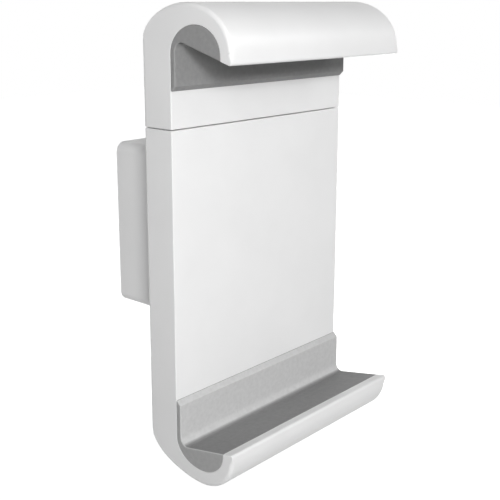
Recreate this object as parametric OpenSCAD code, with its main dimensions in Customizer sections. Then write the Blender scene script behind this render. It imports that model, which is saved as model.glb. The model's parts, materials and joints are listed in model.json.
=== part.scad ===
// Tablet wall mount: a spring-loaded clamp of two J-shaped shells with rubber pads,
// turning on a square wall block.
// X runs along the wall, Z up, and the wall is the plane Y = 0 with the room on the -Y side.

/* [Body] */
// Width of the body and both hooks
body_w = 85; // [74:1:100]
// Height over both hooks with the jaw closed
body_h = 151; // [125:1:180]
// Thickness of the flat body
body_t = 12.7; // [12.5:0.1:14]
// Distance of the parting line below the top of the upper hook
seam_drop = 38; // [34:0.5:42]
// Gap that shows as the parting line
seam_gap = 0.3; // [0.2:0.05:0.5]
// Wall of both moulded shells
shell_wall = 2.2; // [1.8:0.1:2.4]
// Thickness of the back covers
cover_t = 2; // [1.6:0.1:2.2]
// Rounding of the body's long back edges
back_edge_r = 1.7; // [1:0.1:2.5]

/* [Hooks] */
// Reach of both hooks in front of the body's front face
hook_reach = 24.4; // [22:0.1:28]
// Thickness of the upper lip
upper_lip_t = 4.3; // [3.6:0.1:5]
// Thickness of the lower lip
lower_lip_t = 4; // [3.4:0.1:5]
// Rounding of both lips' outer edges
lip_edge_r = 0.8; // [0.3:0.1:1.3]
// Thickness of the upper hook at its crown
upper_crown_t = 6.4; // [5:0.1:7.5]
// Thickness of the lower hook at its lowest point
lower_crown_t = 5.1; // [4:0.1:6.5]
// Rise of the upper hook's outer arch
upper_rise = 14.2; // [13:0.1:17]
// Drop of the lower hook's outer curve behind its lowest point
lower_drop = 16; // [15:0.1:18]
// Drop of the lower hook's outer curve in front of its lowest point
lower_front_drop = 13; // [11.5:0.1:14]
// How far the lowest point lies in front of the body's front face
lower_low_at = 10.8; // [9:0.1:12.5]

/* [Pads] */
// Thickness of the pads' back legs
pad_t = 1.8; // [1.4:0.1:2.4]
// Length of each back leg, from the lip's tip inwards
pad_leg = 8.3; // [6:0.1:12]
// Slope of the upper pad, which meets the device's edge
upper_slope = 17.3; // [12:0.1:22]
// Slope of the lower pad's floor
lower_slope = 10.8; // [8:0.1:14]
// Radius in the corner between leg and slope
pad_fillet = 2.6; // [1.5:0.1:3.2]
// Height of the ramp on the pads' free edges
pad_ramp = 1.5; // [0.8:0.1:2.5]

/* [Slide] */
// Thickness of the tongue
tongue_t = 5; // [4.6:0.1:5.2]
// Length of tongue that stays in the body at full travel, which sets the travel
tongue_hold = 24; // [20:1:40]
// Clearance between the tongue and its guides
slide_clear = 0.3; // [0.2:0.05:0.45]
// Depth of the grooves in the guide rails
rail_groove = 2.5; // [1.8:0.1:3]
// Width of the guide rails outside the tongue
rail_back = 3; // [2:0.1:3.4]

/* [Springs] */
// Outer diameter of the return springs
spring_d = 5; // [4.4:0.1:5.2]
// Wire of the return springs
spring_wire = 0.9; // [0.6:0.05:1]
// Number of turns in each spring
spring_turns = 28; // [20:1:32]
// Distance of each spring from the middle
spring_x = 18; // [14:0.5:20]
// Diameter of the pins that hold the springs
spring_pin_d = 2.4; // [2:0.1:2.5]

/* [Wall block] */
// Side of the square block
block_w = 57; // [52:1:66]
// Depth of the block
block_d = 29; // [26:0.5:36]
// Rounding of the block's four long edges
block_r = 3.5; // [2:0.1:6]
// Wall of the block's housing
block_wall = 2.6; // [2:0.1:3.2]
// Front wall of the housing, which holds the swivel bore
block_front_t = 3; // [2.4:0.1:4]
// Gap between the block and the body
swivel_gap = 0.6; // [0.4:0.05:1]
// Diameter of the swivel hub
hub_d = 24; // [20:0.5:28]
// Radial running clearance of the hub
hub_clear = 0.08; // [0.04:0.01:0.1]

/* [Wall plate] */
// Thickness of the wall plate
plate_t = 3; // [2:0.1:4]
// Distance between the wall screw holes, both ways
wall_hole_pitch = 34; // [28:1:40]
// Diameter of the wall screw holes
wall_hole_d = 4.6; // [3.6:0.1:5.5]

/* [Screws] */
// Shank diameter of the small screws
screw_d = 2.8; // [2.4:0.1:3]
// Head diameter of the small screws
screw_head_d = 5.4; // [4.6:0.1:5.8]
// Head height of the small countersunk screws
screw_head_h = 1.5; // [1.2:0.1:1.6]
// Width of the cross recess in their heads
recess_w = 0.7; // [0.5:0.1:0.9]

/* [Hidden] */

$fn = 48;
// Small gap between parts that are put together without play
fit = 0.05;
screw_play = 0.4;
eps = 0.01;

// Planes across the depth
back_y = -(block_d + swivel_gap);
front_y = back_y - body_t;
inner_front_y = front_y + shell_wall;
inner_back_y = back_y - cover_t;
tongue_y = (inner_front_y + inner_back_y) / 2;
tongue_front_y = tongue_y - tongue_t / 2;
tongue_back_y = tongue_y + tongue_t / 2;

// Heights of the parting line and of the hollow shells
half_h = body_h / 2;
lower_top = half_h - seam_drop;
upper_bottom = lower_top + seam_gap;
lower_hollow_top = lower_top - shell_wall;
upper_hollow_bottom = upper_bottom + shell_wall;
inner_w = body_w - 2 * shell_wall;
ledge = 0.9;

// Upper hook: a half ellipse over the whole depth, and one inside it for the pad
hook_depth = body_t + hook_reach;
upper_spring_z = half_h - upper_rise;
upper_in_w = hook_reach - upper_lip_t;
upper_in_rise = 8.6;
upper_in_z = half_h - upper_crown_t - upper_in_rise;
upper_lip_drop = 3.6;
upper_tip_z = upper_spring_z - upper_lip_drop;
crown_solid = 4.3;
upper_hollow_top = upper_spring_z - crown_solid;

// Lower hook: one quarter ellipse behind the lowest point and one in front of it
lower_back_z = -half_h + lower_drop;
lower_front_z = -half_h + lower_front_drop;
lower_in_w = hook_reach - lower_lip_t;
lower_in_drop = 8.1;
lower_in_z = -half_h + lower_crown_t + lower_in_drop;
lower_lip_rise = 1.7;
lower_tip_z = lower_front_z + lower_lip_rise;
hook_solid = 1.5;
lower_hollow_bottom = lower_back_z + hook_solid;

// Places where the pads' legs end, and how thick they are there
pad_end_t = 0.25;
lower_leg_more = 2.9;
upper_pad_end = upper_tip_z - pad_leg;
lower_pad_end = lower_tip_z + pad_leg + lower_leg_more;

// Cover screws and their bosses
boss_r = 3;
boss_clear = 0.4;
boss_in = boss_r + boss_clear;
boss_wall = 2.7;
cover_screw_x = inner_w / 2 - boss_wall;
cover_screw_l = 7;
pilot_over = 0.4;
upper_cover_screw_z = [(upper_hollow_bottom + upper_hollow_top) / 2];
lower_cover_screw_z = [lower_hollow_bottom + boss_in, (lower_hollow_bottom + lower_hollow_top) / 2,
                       lower_hollow_top - boss_in];
recess_arms = 4;
recess_l = recess_arms * recess_w;
recess_h = 0.9;

// Slide: the tongue fills the width between the two columns of bosses and rails
rail_gap = 1.3;
tongue_w = 2 * (cover_screw_x - boss_r - rail_gap - rail_back - slide_clear);
anchor_room = 3.4;
anchor_gap = 1.9;
anchor_z = lower_hollow_bottom + anchor_room;
tongue_bottom = anchor_z + spring_pin_d / 2 + anchor_gap;
tongue_room = 2;
tongue_top = upper_hollow_top - tongue_room;
travel = lower_top - tongue_hold - tongue_bottom;
stop_ear = 2.5;
stop_ear_h = 6;
rail_bottom = tongue_bottom + stop_ear_h + travel + slide_clear;
rail_top = lower_hollow_top - fit;
shelf_t = 1.6;
shelf_room = 0.3;
rib_x = 11;
rib_w = 2;
rib_start = 2;
rib_h = tongue_front_y - slide_clear - inner_front_y;
tongue_screw_in = 4;
tongue_screw_x = (tongue_w / 2 - tongue_screw_in) * [-1, -1 / 3, 1 / 3, 1];
tongue_screw_z = (upper_hollow_bottom + tongue_top) / 2;
front_skin = 0.9;
tongue_pilot_l = tongue_front_y - front_y - front_skin;

// Springs, centred on the depth that is free behind the groove
groove_skin = 1;
spring_play = 0.3;
groove_play = 0.5;
groove_w = spring_d + 2 * groove_play;
groove_over = 0.6;
coil_r = (spring_d - spring_wire) / 2;
loop_play = 0.35;
loop_r = spring_pin_d / 2 + loop_play + spring_wire / 2;
spring_y = tongue_front_y + groove_skin + spring_play + spring_d / 2;
pin_drop = 7;
pin_z = lower_top - pin_drop;
groove_top = pin_z + loop_r + spring_wire / 2 + groove_over;
pin_over = 2;
pin_half = groove_w / 2 + pin_over;
anchor_boss_w = 4;
anchor_side = 1;
anchor_half = spring_x + groove_w / 2 + anchor_side + anchor_boss_w;
anchor_boss_wall = 1.3;
anchor_boss_h = spring_pin_d + 2 * anchor_boss_wall;
spring_z0 = anchor_z + loop_r;
spring_z1 = pin_z - loop_r;
loop_steps = 9;
turn_steps = 10;
wire_sides = 5;

// Wall block and its swivel
block_front_y = -block_d;
block_inner_w = block_w - 2 * block_wall;
block_corner_min = 0.5;
block_inner_r = max(block_r - block_wall, block_corner_min);
block_inner_y = block_front_y + block_front_t;
ring_t = 1.2;
ring_y = block_front_y + ring_t - swivel_gap / 2;
ring_w = 8;
ring_d = hub_d + 2 * ring_w;
ring_land = 2;
ring_play = 0.3;
ring_bore = hub_d + 2 * ring_play;
friction_t = 1;
disc_t = 0.8;
disc_rise = 0.6;
disc_play = 0.3;
disc_edge = 0.5;
inner_ring_w = 4;
inner_ring_d = hub_d + 2 * inner_ring_w;
inner_ring_y = block_inner_y + friction_t;
washer_t = 2;
washer_y = inner_ring_y + disc_t + disc_rise + disc_play;
bolt_d = 5;
washer_bore = bolt_d + screw_play;
bolt_head_d = 9;
bolt_head_h = 3.2;
bolt_l = 6;
bolt_hole_l = bolt_l - washer_t + pilot_over;
bolt_key = 4.6;
bolt_key_h = 2.2;
hub_screw_pcd = 15;
hub_screw_l = 6.5;
hub_hole_l = hub_screw_l - cover_t + pilot_over;

// Wall plate and its lugs
plate_play = 1;
plate_w = block_inner_w - 2 * plate_play;
plate_r = 3;
lug_w = 20;
lug_t = 2.5;
lug_out = 12;
lug_in = 0.5;
lug_z = plate_w / 2 - lug_t / 2 - lug_in;
lug_top = lug_z + lug_t / 2;
lug_end_y = -plate_t - lug_out;
hook_clear = 0.3;
lip_top = block_inner_w / 2 - hook_clear;
lock_y = -plate_t - lug_out / 2;
lock_d = 4;
lock_head_d = 6.4;
lock_head_h = 2;
lock_key = 2.5;
lock_key_h = 1.4;

// Points along part of an ellipse about [cy, cz], from angle a0 to a1
function arc(cy, cz, ry, rz, a0, a1, n = 24) =
    [for (i = [0:n]) let (a = a0 + (a1 - a0) * i / n) [cy + ry * cos(a), cz + rz * sin(a)]];

function reversed(list) = [for (i = [len(list) - 1:-1:0]) list[i]];

// A depth d in front of the body's front face
function out(d) = front_y - d;

// Rounded outer edge of a lip, from its upright face to its sloping tip.
// s is 1 for the lower lip and -1 for the upper one.
function lip_edge(tip_z, slope, s) =
    arc(out(hook_reach) + lip_edge_r, tip_z - s * lip_edge_r * (tan(slope) + 1 / cos(slope)),
        lip_edge_r, lip_edge_r, s * -180, s * (-270 - slope), 6);

// Section of the upper shell: up the back, over the arch, down the lip and back inside
function upper_outline() = concat(
    [[back_y, upper_bottom]],
    arc(back_y - hook_depth / 2, upper_spring_z, hook_depth / 2, upper_rise, 0, 180, 48),
    lip_edge(upper_tip_z, upper_slope, -1),
    [[out(upper_in_w), upper_tip_z + upper_lip_t * tan(upper_slope)]],
    arc(out(upper_in_w / 2), upper_in_z, upper_in_w / 2, upper_in_rise, 180, 0, 36),
    [[front_y, upper_bottom]]
);

// Section of the lower shell: down the back, round the hook, over the lip and back inside
function lower_outline() = concat(
    [[back_y, lower_top]],
    arc(out(lower_low_at), lower_back_z, body_t + lower_low_at, lower_drop, 0, -90, 28),
    arc(out(lower_low_at), lower_front_z, hook_reach - lower_low_at, lower_front_drop, -90, -180, 24),
    lip_edge(lower_tip_z, lower_slope, 1),
    [[out(lower_in_w), lower_tip_z - lower_lip_t * tan(lower_slope)]],
    lower_bed(),
    [[front_y, lower_top]]
);

// The curve that the lower pad lies in, from the lip back to the front face
function lower_bed() = concat(
    arc(out(lower_low_at), lower_in_z, lower_in_w - lower_low_at, lower_in_drop, -180, -90, 18),
    arc(out(lower_low_at), lower_in_z, lower_low_at, lower_in_drop, -90, 0, 18)
);

// Section of a pad's inner side: lip edge, straight slope, rounded corner, leg and ramp.
// s is 1 for the lower pad and -1 for the upper one.
function pad_face(tip_d, tip_z, slope, end_z, s) =
    let (
        corner_d = pad_t + pad_fillet,
        corner_z = tip_z - s * (tip_d - corner_d) * tan(slope) + s * pad_fillet / cos(slope)
    )
    concat(
        [[out(tip_d), tip_z]],
        arc(out(corner_d), corner_z, pad_fillet, pad_fillet, s * (-90 - slope), 0, 10),
        [[out(pad_t), end_z - s * pad_ramp], [out(pad_end_t), end_z]]
    );

// Extrudes a section in depth and height along the width
module along_x(w) {
    rotate([90, 0, 90]) linear_extrude(w, center = true) children();
}

// A cylinder along the depth, from y0 towards the room
module post(x, y0, z, d, l, d2 = undef) {
    translate([x, y0, z]) rotate([90, 0, 0])
        cylinder(d1 = d, d2 = is_undef(d2) ? d : d2, h = l);
}

// A block from its lowest corner to its highest
module span(a, b) {
    translate(a) cube(b - a);
}

// Countersunk screw along Z from the face of its head at 0, with a cross recess
module screw_body(l) {
    difference() {
        union() {
            cylinder(d1 = screw_head_d, d2 = screw_d, h = screw_head_h);
            cylinder(d = screw_d, h = l);
        }
        for (a = [0, 90]) rotate([0, 0, a])
            span([-recess_l / 2, -recess_w / 2, -1], [recess_l / 2, recess_w / 2, recess_h]);
    }
}

// The same screw with its head flush at y0, pointing towards the room
module screw(x, y0, z, l) {
    translate([x, y0, z]) rotate([90, 0, 0]) screw_body(l);
}

// The seat of such a screw: clearance hole and countersink through a thickness
module seat_body(thick) {
    translate([0, 0, -eps]) {
        cylinder(d1 = screw_head_d + 2 * fit, d2 = screw_d + 2 * fit, h = screw_head_h + fit);
        cylinder(d = screw_d + 2 * fit, h = thick + 2 * eps);
    }
}

module screw_seat(x, y0, z, thick) {
    translate([x, y0, z]) rotate([90, 0, 0]) seat_body(thick);
}

// Puts what is drawn for the right side on the left side too, where s is -1
module side(s) {
    if (s > 0) children();
    else mirror([1, 0, 0]) children();
}

// Square with rounded corners, drawn in width and height, between two depths
module rounded_block(w, h, r, y0, y1) {
    translate([0, y1, 0]) rotate([90, 0, 0]) linear_extrude(y1 - y0) {
        square([w - 2 * r, h], center = true);
        square([w, h - 2 * r], center = true);
        for (x = [-1, 1], z = [-1, 1])
            translate([x * (w / 2 - r), z * (h / 2 - r)]) circle(r);
    }
}

// Plan of the body, with its two back edges rounded
module body_plan(z0, z1) {
    r = back_edge_r;
    translate([0, 0, z0]) linear_extrude(z1 - z0) {
        translate([-body_w / 2, out(hook_reach) - 1])
            square([body_w, -out(hook_reach) + 1 + back_y - r]);
        translate([-body_w / 2 + r, back_y - 2 * r]) square([body_w - 2 * r, 2 * r]);
        for (x = [-1, 1]) translate([x * (body_w / 2 - r), back_y - r]) circle(r);
    }
}

// Hollow of a shell, open at the back, with a ledge that takes the cover
module shell_hollow(z0, z1) {
    span([-inner_w / 2, inner_front_y, z0], [inner_w / 2, back_y + 1, z1]);
    span([-inner_w / 2 - ledge, inner_back_y, z0 - ledge], [inner_w / 2 + ledge, back_y + 1, z1 + ledge]);
}

// Opening for the tongue and the springs behind it
module tongue_slot(z0, z1) {
    c = slide_clear;
    span([-tongue_w / 2 - c, tongue_front_y - c, z0], [tongue_w / 2 + c, inner_back_y, z1]);
}

// Bosses for the cover screws, and the holes in them
module cover_bosses(zs) {
    for (x = [-1, 1], z = zs)
        post(x * cover_screw_x, inner_back_y, z, 2 * boss_r, inner_back_y - inner_front_y + eps);
}

module cover_pilots(zs) {
    pilot_l = cover_screw_l - cover_t + pilot_over;
    for (x = [-1, 1], z = zs) post(x * cover_screw_x, inner_back_y + eps, z, screw_d + 2 * fit, pilot_l);
}

module back_cover(z0, z1, zs) {
    difference() {
        span([-inner_w / 2 - ledge + fit, inner_back_y, z0 - ledge + fit],
             [inner_w / 2 + ledge - fit, back_y, z1 + ledge - fit]);
        for (x = [-1, 1], z = zs) screw_seat(x * cover_screw_x, back_y, z, cover_t);
    }
}

module cover_screws(zs) {
    for (x = [-1, 1], z = zs) screw(x * cover_screw_x, back_y, z, cover_screw_l);
}

// Wall side

module wall_plate() {
    color("silver") difference() {
        union() {
            rounded_block(plate_w, plate_w, plate_r, -plate_t, 0);
            for (s = [-1, 1])
                span([-lug_w / 2, lug_end_y, s * lug_z - lug_t / 2],
                     [lug_w / 2, -plate_t + eps, s * lug_z + lug_t / 2]);
            span([-lug_w / 2, lug_end_y, lug_top - eps], [lug_w / 2, lug_end_y + lug_t, lip_top]);
        }
        for (x = [-1, 1], z = [-1, 1])
            post(x * wall_hole_pitch / 2, 1, z * wall_hole_pitch / 2, wall_hole_d, plate_t + 2);
        translate([0, lock_y, -lug_z - lug_t]) cylinder(d = lock_d + 2 * fit, h = 2 * lug_t);
    }
}

module block_housing() {
    color("white") difference() {
        union() {
            difference() {
                rounded_block(block_w, block_w, block_r, block_front_y, 0);
                rounded_block(block_inner_w, block_inner_w, block_inner_r, block_inner_y, 1);
            }
            span([-lug_w / 2, lug_end_y + lug_t + hook_clear, lug_top + hook_clear],
                 [lug_w / 2, lug_end_y + 2 * lug_t + hook_clear, block_inner_w / 2 + eps]);
        }
        post(0, block_inner_y + 1, 0, hub_d + 2 * hub_clear, block_front_t + 2);
        post(0, ring_y, 0, ring_d + 2 * fit, ring_t + 1);
        translate([0, lock_y, -block_w / 2 - 1]) cylinder(d = lock_d + 2 * fit, h = block_wall + 2);
        translate([0, lock_y, -block_w / 2 - 1]) cylinder(d = lock_head_d + 2 * fit, h = lock_head_h + 1);
    }
}

module lock_screw() {
    color("silver") translate([0, lock_y, -block_w / 2]) difference() {
        union() {
            cylinder(d = lock_head_d, h = lock_head_h);
            cylinder(d = lock_d, h = block_w / 2 - lug_z + lug_t / 2);
        }
        translate([0, 0, -1]) cylinder(d = lock_key, h = lock_key_h + 1, $fn = 6);
    }
}

module outer_friction_ring() {
    color("dimgray") difference() {
        post(0, ring_y, 0, ring_d, ring_t);
        post(0, ring_y + 1, 0, ring_bore + 2 * ring_land, ring_t + 2);
    }
}

module inner_friction_ring() {
    color("dimgray") difference() {
        post(0, inner_ring_y, 0, inner_ring_d, friction_t);
        post(0, inner_ring_y + 1, 0, ring_bore, friction_t + 2);
    }
}

module disc_spring() {
    color("silver") translate([0, inner_ring_y + disc_rise + disc_t, 0]) rotate([90, 0, 0])
        rotate_extrude() polygon([
            [ring_bore / 2, 0], [inner_ring_d / 2 - disc_edge, disc_rise],
            [inner_ring_d / 2 - disc_edge, disc_rise + disc_t], [ring_bore / 2, disc_t]]);
}

// Holder side: the hub that turns in the block

// Four places round the swivel axis at a depth, facing the wall
module hub_screw_places(y) {
    for (a = [45:90:315])
        translate([hub_screw_pcd / 2 * cos(a), y, hub_screw_pcd / 2 * sin(a)]) rotate([-90, 0, 0]) children();
}

module swivel_hub() {
    color("silver") difference() {
        post(0, washer_y, 0, hub_d, washer_y - back_y);
        post(0, washer_y + 1, 0, bolt_d + 2 * fit, bolt_hole_l + 1);
        hub_screw_places(back_y + hub_hole_l) rotate([180, 0, 0])
            cylinder(d = screw_d + 2 * fit, h = hub_screw_l);
    }
}

module retaining_washer() {
    color("silver") difference() {
        post(0, washer_y + washer_t, 0, inner_ring_d, washer_t);
        post(0, washer_y + washer_t + 1, 0, washer_bore, washer_t + 2);
    }
}

module hub_bolt() {
    color("dimgray") difference() {
        union() {
            post(0, washer_y + washer_t + bolt_head_h, 0, bolt_head_d, bolt_head_h);
            post(0, washer_y + washer_t + eps, 0, bolt_d, bolt_l);
        }
        translate([0, washer_y + washer_t + bolt_head_h + 1, 0]) rotate([90, 0, 0])
            cylinder(d = bolt_key, h = bolt_key_h + 1, $fn = 6);
    }
}

// The hub screws go in from inside the body, with their heads flush in the cover
module hub_screws() {
    color("silver") hub_screw_places(inner_back_y) screw_body(hub_screw_l);
}

// Holder: the lower shell and what it carries

module lower_shell() {
    color("white") difference() {
        union() {
            difference() {
                intersection() {
                    along_x(body_w) polygon(lower_outline());
                    body_plan(-half_h - 1, lower_top + 1);
                }
                shell_hollow(lower_hollow_bottom, lower_hollow_top);
            }
            cover_bosses(lower_cover_screw_z);
            for (s = [-1, 1]) {
                side(s) span([rib_x - rib_w / 2, inner_front_y - eps, tongue_bottom + rib_start],
                             [rib_x + rib_w / 2, inner_front_y + rib_h, rail_bottom]);
                anchor_boss(s);
                rail_shelf(s);
            }
        }
        cover_pilots(lower_cover_screw_z);
        tongue_slot(lower_hollow_top - eps, lower_top + 1);
        anchor_bore();
    }
}

// Boss beside a spring that holds one end of the anchor bar
module anchor_boss(s) {
    side(s) span([anchor_half - anchor_boss_w, inner_front_y - eps, anchor_z - anchor_boss_h / 2],
                 [anchor_half, inner_back_y - shelf_room, anchor_z + anchor_boss_h / 2]);
}

// Shelf that holds a guide rail up against the top wall and lets the tongue's ears pass
module rail_shelf(s) {
    side(s) span([tongue_w / 2 + stop_ear + slide_clear, inner_front_y - eps, rail_bottom - fit - shelf_t],
                 [inner_w / 2 + eps, inner_back_y - shelf_room, rail_bottom - fit]);
}

module anchor_bore() {
    translate([-anchor_half - 1, spring_y, anchor_z]) rotate([0, 90, 0])
        cylinder(d = spring_pin_d + 2 * fit, h = 2 * anchor_half + 2);
}

module spring_anchor_bar() {
    color("silver") translate([-anchor_half, spring_y, anchor_z]) rotate([0, 90, 0])
        cylinder(d = spring_pin_d, h = 2 * anchor_half);
}

module lower_back_cover() {
    color("white") difference() {
        back_cover(lower_hollow_bottom, lower_hollow_top, lower_cover_screw_z);
        hub_screw_places(inner_back_y) seat_body(cover_t);
    }
}

module lower_cover_screws() {
    color("silver") cover_screws(lower_cover_screw_z);
}

module lower_pad() {
    color("gray") along_x(body_w) polygon(concat(
        [[front_y, lower_pad_end]],
        reversed(lower_bed()),
        pad_face(lower_in_w, lower_tip_z - lower_lip_t * tan(lower_slope), lower_slope, lower_pad_end, 1)
    ));
}

// U-shaped strip that the tongue's edge runs in
module guide_rail(s) {
    color("gainsboro") side(s) difference() {
        span([tongue_w / 2 - rail_groove, inner_front_y, rail_bottom],
             [tongue_w / 2 + slide_clear + rail_back, inner_back_y, rail_top]);
        span([0, tongue_front_y - slide_clear, rail_bottom - 1],
             [tongue_w / 2 + slide_clear, tongue_back_y + slide_clear, rail_top + 1]);
    }
}

module guide_rail_left() { guide_rail(-1); }

module guide_rail_right() { guide_rail(1); }

// Return spring: a loop in the depth plane, the coil, and a loop at the other end.
// The coil starts and ends on the side where the loops lie, so that the wire runs on smoothly.

function loop_end(zc, a0, a1) = [for (i = [0:loop_steps]) let (a = a0 + (a1 - a0) * i / loop_steps)
    [[coil_r, loop_r * cos(a), zc + loop_r * sin(a)], [1, 0, 0]]];

function coil() = let (n = spring_turns * turn_steps)
    [for (i = [0:n]) let (a = 360 * i / turn_steps, outward = [cos(a), sin(a), 0])
        [coil_r * outward + [0, 0, spring_z0 + (spring_z1 - spring_z0) * i / n], outward]];

function spring_path() = concat(loop_end(anchor_z, -210, 60), coil(), loop_end(pin_z, -60, 210));

function unit(v) = v / norm(v);

function ring(path, i) = let (
    t = unit(path[min(i + 1, len(path) - 1)][0] - path[max(i - 1, 0)][0]),
    b = unit(cross(t, path[i][1])),
    n = cross(b, t)
) [for (k = [0:wire_sides - 1]) let (a = 360 * k / wire_sides)
    path[i][0] + spring_wire / 2 * (cos(a) * n + sin(a) * b)];

module wire(path) {
    m = wire_sides;
    last = len(path) - 1;
    polyhedron(
        points = [for (i = [0:last]) each ring(path, i)],
        faces = concat(
            [[for (k = [0:m - 1]) k]],
            [for (i = [0:last - 1], k = [0:m - 1]) let (a = i * m + k, b = i * m + (k + 1) % m)
                each [[a, a + m, b], [b, a + m, b + m]]],
            [[for (k = [m - 1:-1:0]) last * m + k]]
        ),
        convexity = 10
    );
}

module return_spring(x) {
    color("silver") translate([x, spring_y, 0]) wire(spring_path());
}

module return_spring_left() { return_spring(-spring_x); }

module return_spring_right() { return_spring(spring_x); }

// Jaw

module upper_shell() {
    color("white") difference() {
        union() {
            difference() {
                intersection() {
                    along_x(body_w) polygon(upper_outline());
                    body_plan(upper_bottom - 1, half_h + 1);
                }
                shell_hollow(upper_hollow_bottom, upper_hollow_top);
            }
            cover_bosses(upper_cover_screw_z);
            for (x = tongue_screw_x)
                post(x, tongue_front_y, tongue_screw_z, 2 * boss_r, tongue_front_y - inner_front_y + eps);
        }
        cover_pilots(upper_cover_screw_z);
        for (x = tongue_screw_x)
            post(x, tongue_front_y + eps, tongue_screw_z, screw_d + 2 * fit, tongue_pilot_l);
        tongue_slot(upper_bottom - 1, upper_hollow_bottom + eps);
    }
}

module upper_back_cover() {
    color("white") back_cover(upper_hollow_bottom, upper_hollow_top, upper_cover_screw_z);
}

module upper_cover_screws() {
    color("silver") cover_screws(upper_cover_screw_z);
}

module upper_pad() {
    color("gray") along_x(body_w) polygon(concat(
        [[front_y, upper_pad_end]],
        arc(out(upper_in_w / 2), upper_in_z, upper_in_w / 2, upper_in_rise, 0, 180, 36),
        pad_face(upper_in_w, upper_tip_z + upper_lip_t * tan(upper_slope), upper_slope, upper_pad_end, -1)
    ));
}

module slide_tongue() {
    color("gainsboro") difference() {
        union() {
            span([-tongue_w / 2, tongue_front_y, tongue_bottom], [tongue_w / 2, tongue_back_y, tongue_top]);
            for (s = [-1, 1])
                side(s) span([tongue_w / 2 - eps, tongue_front_y, tongue_bottom],
                             [tongue_w / 2 + stop_ear, tongue_back_y, tongue_bottom + stop_ear_h]);
        }
        for (s = [-1, 1]) {
            span([s * spring_x - groove_w / 2, tongue_front_y + groove_skin, tongue_bottom - 1],
                 [s * spring_x + groove_w / 2, tongue_back_y + 1, groove_top]);
            span([s * spring_x - pin_half, spring_y - spring_pin_d / 2 - fit, pin_z - spring_pin_d / 2 - fit],
                 [s * spring_x + pin_half, tongue_back_y + 1, pin_z + spring_pin_d / 2 + fit]);
        }
        for (x = tongue_screw_x) screw_seat(x, tongue_back_y, tongue_screw_z, tongue_t);
    }
}

module spring_pins() {
    color("silver") for (s = [-1, 1])
        translate([s * spring_x - pin_half + fit, spring_y, pin_z]) rotate([0, 90, 0])
            cylinder(d = spring_pin_d, h = 2 * (pin_half - fit));
}

module tongue_screws() {
    color("silver") for (x = tongue_screw_x)
        screw(x, tongue_back_y, tongue_screw_z, tongue_t + tongue_pilot_l - pilot_over);
}

wall_plate();
block_housing();
lock_screw();
outer_friction_ring();
inner_friction_ring();
disc_spring();
swivel_hub();
retaining_washer();
hub_bolt();
hub_screws();
lower_shell();
lower_back_cover();
lower_cover_screws();
lower_pad();
guide_rail_left();
guide_rail_right();
spring_anchor_bar();
return_spring_left();
return_spring_right();
upper_shell();
upper_back_cover();
upper_cover_screws();
upper_pad();
slide_tongue();
tongue_screws();
spring_pins();
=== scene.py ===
import json
import math

import bmesh
import bpy
from mathutils import Matrix, Vector

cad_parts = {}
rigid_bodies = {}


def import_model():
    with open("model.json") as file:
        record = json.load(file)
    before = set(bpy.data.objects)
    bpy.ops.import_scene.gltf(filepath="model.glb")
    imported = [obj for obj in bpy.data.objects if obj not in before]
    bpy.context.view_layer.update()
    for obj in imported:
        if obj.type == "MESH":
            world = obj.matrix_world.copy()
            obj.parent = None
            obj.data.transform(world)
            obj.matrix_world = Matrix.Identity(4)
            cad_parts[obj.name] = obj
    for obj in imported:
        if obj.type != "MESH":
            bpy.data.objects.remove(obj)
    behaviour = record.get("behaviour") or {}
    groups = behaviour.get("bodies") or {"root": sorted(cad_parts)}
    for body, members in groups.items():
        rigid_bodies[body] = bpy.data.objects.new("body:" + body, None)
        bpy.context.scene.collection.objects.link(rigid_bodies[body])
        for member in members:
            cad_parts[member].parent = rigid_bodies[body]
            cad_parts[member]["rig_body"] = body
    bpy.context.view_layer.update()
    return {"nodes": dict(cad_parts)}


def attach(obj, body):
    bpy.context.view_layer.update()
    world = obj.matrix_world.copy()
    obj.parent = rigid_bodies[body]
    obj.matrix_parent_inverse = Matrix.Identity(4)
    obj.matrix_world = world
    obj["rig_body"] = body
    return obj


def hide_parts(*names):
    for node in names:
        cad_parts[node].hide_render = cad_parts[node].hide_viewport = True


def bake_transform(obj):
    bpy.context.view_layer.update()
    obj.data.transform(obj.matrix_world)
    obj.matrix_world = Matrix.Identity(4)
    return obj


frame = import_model()
nodes = frame["nodes"]
body_of_node = {n: o["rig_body"] for n, o in nodes.items()}
scene = bpy.context.scene
MM = 0.001

# Camera: placed by a fit to the photograph's edges
YAW, PITCH, ROLL = 0.8476, 0.2285, 0.0014
cam_data = bpy.data.cameras.new("camera")
cam_data.sensor_width = 36
cam_data.lens = 925.1 / 500 * 36
cam_data.shift_y = -0.07
cam_data.clip_start, cam_data.clip_end = 0.01, 20
camera = bpy.data.objects.new("camera", cam_data)
scene.collection.objects.link(camera)
right = Vector((math.cos(YAW), -math.sin(YAW), 0))
ahead = Vector((math.sin(YAW) * math.cos(PITCH), math.cos(YAW) * math.cos(PITCH), -math.sin(PITCH)))
up = right.cross(ahead)
right, up = (right * math.cos(ROLL) + up * math.sin(ROLL), up * math.cos(ROLL) - right * math.sin(ROLL))
place = Matrix((right, up, -ahead)).transposed().to_4x4()
place.translation = Vector((-234.18, -243.02, 76.05)) * MM
camera.matrix_world = place
scene.camera = camera


# Materials

def new_material(name):
    mat = bpy.data.materials.new(name)
    mat.use_nodes = True
    tree = mat.node_tree
    return mat, tree, tree.nodes["Principled BSDF"]


def add(tree, kind, **inputs):
    node = tree.nodes.new(kind)
    for key, value in inputs.items():
        node.inputs[key.replace("_", " ")].default_value = value
    return node


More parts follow.
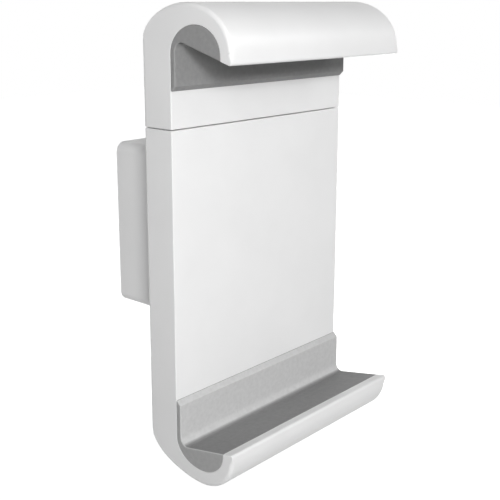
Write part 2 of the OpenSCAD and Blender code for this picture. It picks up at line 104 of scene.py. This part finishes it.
def noise(tree, scale, detail=2.0, stretch=None):
    """Noise over the object's own coordinates, which are metres."""
    coords = tree.nodes.new("ShaderNodeTexCoord")
    source = coords.outputs["Object"]
    if stretch:
        mapping = add(tree, "ShaderNodeMapping", Scale=stretch)
        tree.links.new(source, mapping.inputs["Vector"])
        source = mapping.outputs["Vector"]
    texture = add(tree, "ShaderNodeTexNoise", Scale=scale, Detail=detail)
    tree.links.new(source, texture.inputs["Vector"])
    return texture.outputs["Fac"]


def ramp(tree, source, low, high, spread=(0.3, 0.7)):
    node = tree.nodes.new("ShaderNodeMapRange")
    node.inputs["From Min"].default_value, node.inputs["From Max"].default_value = spread
    node.inputs["To Min"].default_value, node.inputs["To Max"].default_value = low, high
    tree.links.new(source, node.inputs["Value"])
    return node.outputs["Result"]


def tint(tree, source, dark, light, spread=(0.3, 0.7)):
    node = tree.nodes.new("ShaderNodeMix")
    node.data_type = "RGBA"
    node.inputs["A"].default_value = (*dark, 1)
    node.inputs["B"].default_value = (*light, 1)
    tree.links.new(ramp(tree, source, 0, 1, spread), node.inputs["Factor"])
    return node.outputs["Result"]


def bump(tree, shader, source, depth, strength=1.0, previous=None):
    node = add(tree, "ShaderNodeBump", Strength=strength, Distance=depth)
    tree.links.new(source, node.inputs["Height"])
    if previous:
        tree.links.new(previous, node.inputs["Normal"])
    tree.links.new(node.outputs["Normal"], shader.inputs["Normal"])
    return node.outputs["Normal"]


def plastic(name, color, rough, grain=0.00002):
    """Moulded plastic with a fine eroded grain and a very slow change of gloss."""
    mat, tree, shader = new_material(name)
    shader.inputs["IOR"].default_value = 1.46
    lighter = tuple(min(1, c * 1.012) for c in color)
    darker = tuple(c * 0.985 for c in color)
    tree.links.new(tint(tree, noise(tree, 60), darker, lighter), shader.inputs["Base Color"])
    tree.links.new(ramp(tree, noise(tree, 240, 3), rough - 0.04, rough + 0.04), shader.inputs["Roughness"])
    bump(tree, shader, noise(tree, 2600, 2), grain)
    return mat


def rubber(name, skin, bed_shade, end_shade, rough, grain):
    """Moulded rubber: a pale skin, with painted shade: a darker bed tone on faces that point up or down, and a
    darker end tone on faces that point sideways along X.
    """
    mat, tree, shader = new_material(name)
    shader.inputs["Specular IOR Level"].default_value = 0.15
    coords = tree.nodes.new("ShaderNodeTexCoord")
    split = tree.nodes.new("ShaderNodeSeparateXYZ")
    tree.links.new(coords.outputs["Normal"], split.inputs["Vector"])
    parts = []
    # Painted shade: the face's own normal picks the darker bed tone (up or down) and the darker end tone (along X).
    for axis, spread in (("Z", (0.78, 0.97)), ("X", (0.75, 0.98))):
        size = tree.nodes.new("ShaderNodeMath")
        size.operation = "ABSOLUTE"
        tree.links.new(split.outputs[axis], size.inputs[0])
        parts.append(ramp(tree, size.outputs[0], 0, 1, spread))
    grey = (skin,) * 3, (bed_shade,) * 3, (end_shade,) * 3
    first = tint(tree, parts[0], grey[0], grey[1], (0, 1))
    second = tree.nodes.new("ShaderNodeMix")
    second.data_type = "RGBA"
    second.inputs["B"].default_value = (*grey[2], 1)
    tree.links.new(parts[1], second.inputs["Factor"])
    tree.links.new(first, second.inputs["A"])
    speck = tree.nodes.new("ShaderNodeMix")
    speck.data_type = "RGBA"
    speck.blend_type = "MULTIPLY"
    speck.inputs["Factor"].default_value = 1.0
    tree.links.new(second.outputs["Result"], speck.inputs["A"])
    tree.links.new(tint(tree, noise(tree, 700, 4), (0.9,) * 3, (1, 1, 1)), speck.inputs["B"])
    tree.links.new(speck.outputs["Result"], shader.inputs["Base Color"])
    tree.links.new(ramp(tree, noise(tree, 300, 3), rough - 0.05, rough + 0.06), shader.inputs["Roughness"])
    bump(tree, shader, noise(tree, 1900, 3), grain)
    return mat


def lining(name, dark, light, rough, grain):
    mat, tree, shader = new_material(name)
    tree.links.new(tint(tree, noise(tree, 900, 3), dark, light), shader.inputs["Base Color"])
    tree.links.new(ramp(tree, noise(tree, 300, 3), rough - 0.05, rough + 0.06), shader.inputs["Roughness"])
    bump(tree, shader, noise(tree, 1900, 3), grain)
    return mat


def metal(name, dark, light, rough, scale=400, stretch=None, grain=0.00001):
    mat, tree, shader = new_material(name)
    shader.inputs["Metallic"].default_value = 1.0
    texture = noise(tree, scale, 4, stretch)
    tree.links.new(tint(tree, texture, dark, light), shader.inputs["Base Color"])
    tree.links.new(ramp(tree, texture, rough - 0.06, rough + 0.08), shader.inputs["Roughness"])
    bump(tree, shader, texture, grain)
    return mat


WHITE = plastic("white_plastic", (0.82, 0.82, 0.82), 0.33)
# The pads' rubbers carry painted shade in their bed and end tones.
LOWER_PAD = rubber("pad_rubber", 0.59, 0.28, 0.42, 0.55, 0.00003)
# Painted shade: the upper pad's rubber is a darker copy of the lower pad's, for the hollow under the hook.
UPPER_PAD_SHADED = rubber("pad_rubber_upper_shaded", 0.33, 0.15, 0.31, 0.6, 0.00003)
GUIDE = plastic("guide_plastic", (0.70, 0.69, 0.66), 0.42)
ZINC = metal("zinc_steel", (0.40, 0.41, 0.43), (0.48, 0.49, 0.51), 0.36, 700)
SCREW = metal("screw_steel", (0.36, 0.37, 0.39), (0.44, 0.45, 0.47), 0.3, 900)
SPRING = metal("spring_steel", (0.40, 0.41, 0.43), (0.50, 0.51, 0.53), 0.25, 1200)
BLACK = metal("black_steel", (0.06, 0.06, 0.065), (0.10, 0.10, 0.105), 0.42, 700)
LINING = lining("friction_lining", (0.035, 0.032, 0.03), (0.075, 0.07, 0.065), 0.85, 0.00008)


# Pieces

WELD, JOIN = 0.06, 0.001
LIP_FADE, BACK_FADE, LEAST_ROLL = 2.5, 16, 0.05
FLAT, SLIGHT, CURVED, SHARP = (math.radians(a) for a in (0.4, 0.6, 8, 28))


def roll_ends(bm, radius, steps=5):
    """Roll a hook's outer curve over towards both of its ends, and return the vertices in the roll.
    The roll's radius fades out towards the curve's borders at the lip and at the back."""
    half = max(v.co.x for v in bm.verts)

    def spot(vert):
        return round(vert.co.y / MM, 2), round(vert.co.z / MM, 2)

    def in_roll(vert):
        return spot(vert) in normals and abs(vert.co.x) > half - radius - WELD * MM / 10

    strips = set()
    for edge in bm.edges:
        a, b = edge.verts
        if abs(a.co.x - b.co.x) > 2 * half - WELD * MM and len(edge.link_faces) == 2 \
                and SLIGHT < edge.calc_face_angle_signed(0) < CURVED:
            strips.update(edge.link_faces)
    normals = {}
    for face in strips:
        for vert in face.verts:
            normals.setdefault(spot(vert), []).append(face.normal.copy())
    borders = sorted(at for at, found in normals.items() if len(found) == 2)
    for k in range(steps, 0, -1):
        for side in (1, -1):
            faces = [f for f in bm.faces if all(spot(v) in normals for v in f.verts)
                     and (k == steps or not any(spot(v) in borders for v in f.verts))]
            geom = set(faces)
            for face in faces:
                geom.update(face.edges)
                geom.update(face.verts)
            bmesh.ops.bisect_plane(bm, geom=list(geom), dist=1e-8, plane_no=(1, 0, 0),
                                   plane_co=(side * (half - radius * k / steps), 0, 0))
    rolled = {v for v in bm.verts if in_roll(v)}
    for vert in rolled:
        at = spot(vert)
        share = min(1, *(math.dist(at, border) / fade for border, fade in zip(borders, (LIP_FADE, BACK_FADE))))
        size = max(radius * share * share * (3 - 2 * share), LEAST_ROLL * MM)
        if at in borders:
            continue
        angle = math.pi / 2 * (1 - (half - abs(vert.co.x)) / radius)
        inward = -sum(normals[at], Vector()).normalized()
        x = half - size + size * math.sin(angle)
        vert.co += inward * size * (1 - math.cos(angle))
        vert.co.x = math.copysign(x, vert.co.x)
    ends = [f for f in bm.faces if len(f.verts) > 4 and all(v in rolled for v in f.verts)]
    bmesh.ops.triangulate(bm, faces=ends)
    bm.normal_update()
    return rolled


def dress(node, material, width, pick=None, wide=0, wide_pick=None, segments=3, clamp=True, roll=0):
    """A copy of a CAD node with its outer edges rounded, which stands for the node.
    Edges that wide_pick accepts take the wide rounding, and the others that pick accepts take width."""
    bm = bmesh.new()
    bm.from_mesh(nodes[node].data)
    bmesh.ops.remove_doubles(bm, verts=bm.verts, dist=WELD * MM)
    bmesh.ops.dissolve_limit(bm, angle_limit=FLAT, verts=bm.verts, edges=bm.edges, delimit={"NORMAL"})
    bm.normal_update()
    rolled = roll_ends(bm, roll * MM) if roll else ()
    weight = bm.edges.layers.float.new("bevel_weight_edge")
    most = max(width, wide)
    for edge in bm.edges:
        if len(edge.link_faces) != 2 or edge.calc_face_angle_signed(0) < SHARP \
                or edge.verts[0] in rolled and edge.verts[1] in rolled:
            continue
        middle = (edge.verts[0].co + edge.verts[1].co) / 2 / MM
        if wide_pick and wide_pick(middle, edge):
            edge[weight] = wide / most
        elif pick is None or pick(middle, edge):
            edge[weight] = width / most
    mesh = bpy.data.meshes.new(node + "_dressed")
    bm.to_mesh(mesh)
    bm.free()
    obj = bpy.data.objects.new(node + "_dressed", mesh)
    scene.collection.objects.link(obj)
    mesh.materials.append(material)
    mesh.polygons.foreach_set("use_smooth", [True] * len(mesh.polygons))
    mesh.set_sharp_from_angle(angle=SHARP)
    for edge, rounded in zip(mesh.edges, mesh.attributes["bevel_weight_edge"].data):
        if rounded.value > 0:
            edge.use_edge_sharp = False
    rounding = obj.modifiers.new("rounding", "BEVEL")
    rounding.limit_method = "WEIGHT"
    rounding.width = most * MM
    rounding.segments = segments
    rounding.use_clamp_overlap = clamp
    joined = obj.modifiers.new("joined", "WELD")
    joined.merge_threshold = JOIN * MM
    weighted = obj.modifiers.new("weighted", "WEIGHTED_NORMAL")
    weighted.keep_sharp = True
    weighted.weight = 80
    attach(obj, body_of_node[node])
    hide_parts(node)
    return obj


def outside(middle, edge):
    """Edges of the shells that show, not the ribs and bosses in their hollows."""
    return abs(middle.x) > 41.5 or middle.y < -41 or middle.y > -29.9 or abs(middle.z) > 62 or 37 < middle.z < 38.5


def block_outside(middle, edge):
    """The block's rim at the wall, inside and outside."""
    return middle.y > -0.5


def block_front(middle, edge):
    """The block's rim towards the body."""
    return middle.y < -28.5 and max(abs(middle.x), abs(middle.z)) > 24


def pad_rim(middle, edge):
    """The rim of a pad's free side, at both of its ends."""
    if abs(middle.x) < 42.4:
        return False
    normal = min((f.normal for f in edge.link_faces), key=lambda n: abs(n.x))
    facing = normal.z if middle.z < 0 else -normal.z
    return facing > 0.3 or normal.y < -0.5 and middle.y > -50


dress("lower_shell", WHITE, 0.3, outside, clamp=False, roll=1.4)
dress("upper_shell", WHITE, 0.3, outside, clamp=False, roll=1.4)
dress("lower_back_cover", WHITE, 0.25, clamp=False)
dress("upper_back_cover", WHITE, 0.25, clamp=False)
dress("block_housing", WHITE, 0.3, block_outside, 0.8, block_front, segments=4)
dress("lower_pad", LOWER_PAD, 0.12, None, 0.45, pad_rim, segments=4, clamp=False)
# The upper pad takes the darker rubber: painted shade under the hook.
dress("upper_pad", UPPER_PAD_SHADED, 0.12, None, 0.45, pad_rim, segments=4, clamp=False)
dress("slide_tongue", GUIDE, 0.3, clamp=False)
for name in ("guide_rail_left", "guide_rail_right"):
    dress(name, GUIDE, 0.2)
for name, width in (("wall_plate", 0.3), ("swivel_hub", 0.3), ("retaining_washer", 0.2)):
    dress(name, ZINC, width)
dress("disc_spring", SPRING, 0.1)
dress("hub_bolt", BLACK, 0.3)
for name, width in (("hub_screws", 0.12), ("lower_cover_screws", 0.12), ("upper_cover_screws", 0.12),
                    ("tongue_screws", 0.12), ("lock_screw", 0.25), ("spring_anchor_bar", 0.2), ("spring_pins", 0.2)):
    dress(name, SCREW, width)
for name in ("outer_friction_ring", "inner_friction_ring"):
    dress(name, LINING, 0.15)


# Springs: smooth coils that stand in for the CAD springs
SPRING_Y, ANCHOR_Z, PIN_Z = -34.55, -54.6, 30.5
COIL_R, LOOP_R, WIRE_R, TURNS = 2.05, 2.0, 0.45, 28


def spring_path():
    def loop(zc, a0, a1):
        return [Vector((COIL_R, LOOP_R * math.cos(math.radians(a0 + (a1 - a0) * i / 20)),
                        zc + LOOP_R * math.sin(math.radians(a0 + (a1 - a0) * i / 20)))) for i in range(21)]
    steps = TURNS * 20
    low, high = ANCHOR_Z + LOOP_R, PIN_Z - LOOP_R
    coil = [Vector((COIL_R * math.cos(2 * math.pi * i / 20), COIL_R * math.sin(2 * math.pi * i / 20),
                    low + (high - low) * i / steps)) for i in range(steps + 1)]
    return loop(ANCHOR_Z, -210, 60) + coil + loop(PIN_Z, -60, 210)


def spring(node, x):
    path = spring_path()
    bm = bmesh.new()
    rings = []
    normal = Vector((1, 0, 0))
    sides = 8
    for i, point in enumerate(path):
        along = (path[min(i + 1, len(path) - 1)] - path[max(i - 1, 0)]).normalized()
        normal = (normal - along * normal.dot(along)).normalized()
        other = along.cross(normal)
        rings.append([bm.verts.new((point + WIRE_R * (math.cos(a) * normal + math.sin(a) * other)
                                    + Vector((x, SPRING_Y, 0))) * MM)
                      for a in [2 * math.pi * k / sides for k in range(sides)]])
    for a, b in zip(rings, rings[1:]):
        for k in range(sides):
            bm.faces.new((a[k], a[(k + 1) % sides], b[(k + 1) % sides], b[k]))
    bm.faces.new(list(reversed(rings[0])))
    bm.faces.new(rings[-1])
    bmesh.ops.recalc_face_normals(bm, faces=bm.faces)
    mesh = bpy.data.meshes.new(node + "_coil")
    bm.to_mesh(mesh)
    bm.free()
    mesh.polygons.foreach_set("use_smooth", [True] * len(mesh.polygons))
    mesh.materials.append(SPRING)
    obj = bpy.data.objects.new(node + "_coil", mesh)
    scene.collection.objects.link(obj)
    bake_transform(obj)
    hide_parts(node)


spring("return_spring_left", -18)
spring("return_spring_right", 18)


# Floor and light

def seen_directly(tree):
    """1 for the rays that show a thing to the camera, straight, mirrored or through glass; 0 for the rest."""
    path = tree.nodes.new("ShaderNodeLightPath")
    result = path.outputs["Is Camera Ray"]
    for name in ("Is Glossy Ray", "Is Transmission Ray"):
        either = tree.nodes.new("ShaderNodeMath")
        either.operation = "MAXIMUM"
        tree.links.new(result, either.inputs[0])
        tree.links.new(path.outputs[name], either.inputs[1])
        result = either.outputs[0]
    return result


floor_mesh = bpy.data.meshes.new("floor")
reach = 3.0
floor_mesh.from_pydata([(-reach, -reach, 0), (reach, -reach, 0), (reach, reach, 0), (-reach, reach, 0)], [], [(0, 1, 2, 3)])
floor = bpy.data.objects.new("floor", floor_mesh)
floor.location = (0, 0, -0.32)
scene.collection.objects.link(floor)
mat, tree, shader = new_material("floor")
shader.inputs["Base Color"].default_value = (0.6, 0.6, 0.6, 1)
shader.inputs["Roughness"].default_value = 0.9
coords = tree.nodes.new("ShaderNodeTexCoord")
far = tree.nodes.new("ShaderNodeVectorMath")
far.operation = "LENGTH"
tree.links.new(coords.outputs["Object"], far.inputs[0])
glow = tree.nodes.new("ShaderNodeEmission")
tree.links.new(ramp(tree, far.outputs["Value"], 0.55, 1.0, (0.2, 0.9)), glow.inputs["Strength"])
both = tree.nodes.new("ShaderNodeAddShader")
choose = tree.nodes.new("ShaderNodeMixShader")
tree.links.new(seen_directly(tree), choose.inputs["Fac"])
tree.links.new(shader.outputs[0], choose.inputs[1])
tree.links.new(shader.outputs[0], both.inputs[0])
tree.links.new(glow.outputs[0], both.inputs[1])
tree.links.new(both.outputs[0], choose.inputs[2])
tree.links.new(choose.outputs[0], tree.nodes["Material Output"].inputs["Surface"])
floor_mesh.materials.append(mat)

world = bpy.data.worlds.new("studio")
scene.world = world
world.use_nodes = True
tree = world.node_tree
background = tree.nodes["Background"]
background.inputs["Color"].default_value = (1, 1, 1, 1)
coords = tree.nodes.new("ShaderNodeTexCoord")
facing = tree.nodes.new("ShaderNodeVectorMath")
facing.operation = "DOT_PRODUCT"
facing.inputs[1].default_value = Vector((-0.5, -0.85, -0.05)).normalized()
tree.links.new(coords.outputs["Generated"], facing.inputs[0])
level = tree.nodes.new("ShaderNodeMix")
level.data_type = "FLOAT"
level.inputs["B"].default_value = 1.0
tree.links.new(seen_directly(tree), level.inputs["Factor"])
tree.links.new(ramp(tree, facing.outputs["Value"], 0.04, 0.33, (-0.2, 1.0)), level.inputs["A"])
tree.links.new(level.outputs["Result"], background.inputs["Strength"])


def lamp(name, spot, size, power, aim=(0, -0.045, 0), mirrored=True):
    data = bpy.data.lights.new(name, "AREA")
    data.shape = "DISK"
    data.size = size
    data.energy = power
    obj = bpy.data.objects.new(name, data)
    scene.collection.objects.link(obj)
    obj.location = spot
    obj.rotation_euler = (Vector(aim) - Vector(spot)).to_track_quat("-Z", "Y").to_euler()
    obj.visible_camera = False
    obj.visible_glossy = mirrored
    return obj


lamp("key", (-0.43, -0.56, 0.225), 0.13, 2.1)
lamp("fill", (0, -1.0, 0.375), 0.2, 1.95)
lamp("near", (-0.2, -0.19, 0.11), 0.06, 0.15, (0, -0.05, 0.05))
lamp("low", (-0.18, -0.18, -0.02), 0.06, 0.035, (0, -0.05, -0.06))
lamp("sheen", (0.55, -0.62, 0.45), 0.3, 1.0)
lamp("back", (0, 1.3, 0.15), 0.7, 8, mirrored=False)
lamp("side", (0.9, 0.3, -0.12), 0.4, 3)

scene.view_settings.view_transform = "Standard"
